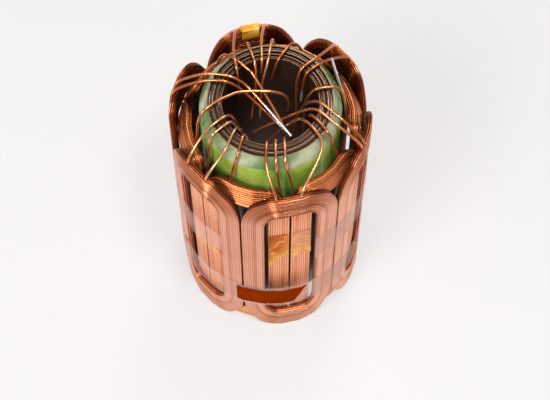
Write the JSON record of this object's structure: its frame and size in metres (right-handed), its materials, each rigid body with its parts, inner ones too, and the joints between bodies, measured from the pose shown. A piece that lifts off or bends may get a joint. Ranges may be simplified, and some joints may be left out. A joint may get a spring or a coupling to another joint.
{
  "type": "toroidal-core stator winding",
  "caption": "Stator winding: a strip-wound toroidal core stands inside nested rings of flat folded racetrack coils, bound by tape, with wire leads bent over its rim into the bore.",
  "frame": {"origin": "centre of the surface that the core and the coils stand on", "axes": "+Z along the core's axis, up towards the leads; coil 1 of the outer ring faces -Y"},
  "size_m": [0.082, 0.0817, 0.147],
  "materials": {
    "coil_wire": "enamelled copper, satin",
    "lead_wire": "enamelled copper, glossy, some ends tinned",
    "core_shell": "green shell, glossy, paler on its bevelled rims",
    "sleeve": "dark insulation, matte",
    "core_strip": "edges of wound strip, grey-brown with fine rings",
    "clear_tape": "clear tape over copper, satin",
    "amber_tape": "amber film tape, glossy"
  },
  "bodies": {
    "root": {"amber_tape": "amber_tape", "core_shell": "core_shell", "core_sleeve": "sleeve", "folded_tape_tab": "amber_tape", "inner_coil_1": "coil_wire", "inner_coil_2": "coil_wire", "inner_coil_3": "coil_wire", "inner_coil_4": "coil_wire", "inner_coil_5": "coil_wire", "inner_coil_6": "coil_wire", "inner_lead_1a": "lead_wire", "inner_lead_1b": "lead_wire", "inner_lead_2a": "lead_wire", "inner_lead_2b": "lead_wire", "inner_lead_3a": "lead_wire", "inner_lead_3b": "lead_wire", "inner_lead_4a": "lead_wire", "inner_lead_4b": "lead_wire", "inner_lead_5a": "lead_wire", "inner_lead_5b": "lead_wire", "inner_lead_6a": "lead_wire", "inner_lead_6b": "lead_wire", "inner_strip_roll": "core_strip", "lower_tape": "clear_tape", "outer_coil_1": "coil_wire", "outer_coil_2": "coil_wire", "outer_coil_3": "coil_wire", "outer_coil_4": "coil_wire", "outer_coil_5": "coil_wire", "outer_coil_6": "coil_wire", "outer_lead_1a": "lead_wire", "outer_lead_1b": "lead_wire", "outer_lead_2a": "lead_wire", "outer_lead_2b": "lead_wire", "outer_lead_3a": "lead_wire", "outer_lead_3b": "lead_wire", "outer_lead_4a": "lead_wire", "outer_lead_4b": "lead_wire", "outer_lead_5a": "lead_wire", "outer_lead_5b": "lead_wire", "outer_lead_6a": "lead_wire", "outer_lead_6b": "lead_wire", "outer_strip_roll": "core_strip", "torn_tape_left": "amber_tape", "torn_tape_right": "amber_tape", "upper_tape": "clear_tape"}
  },
  "joints": []
}
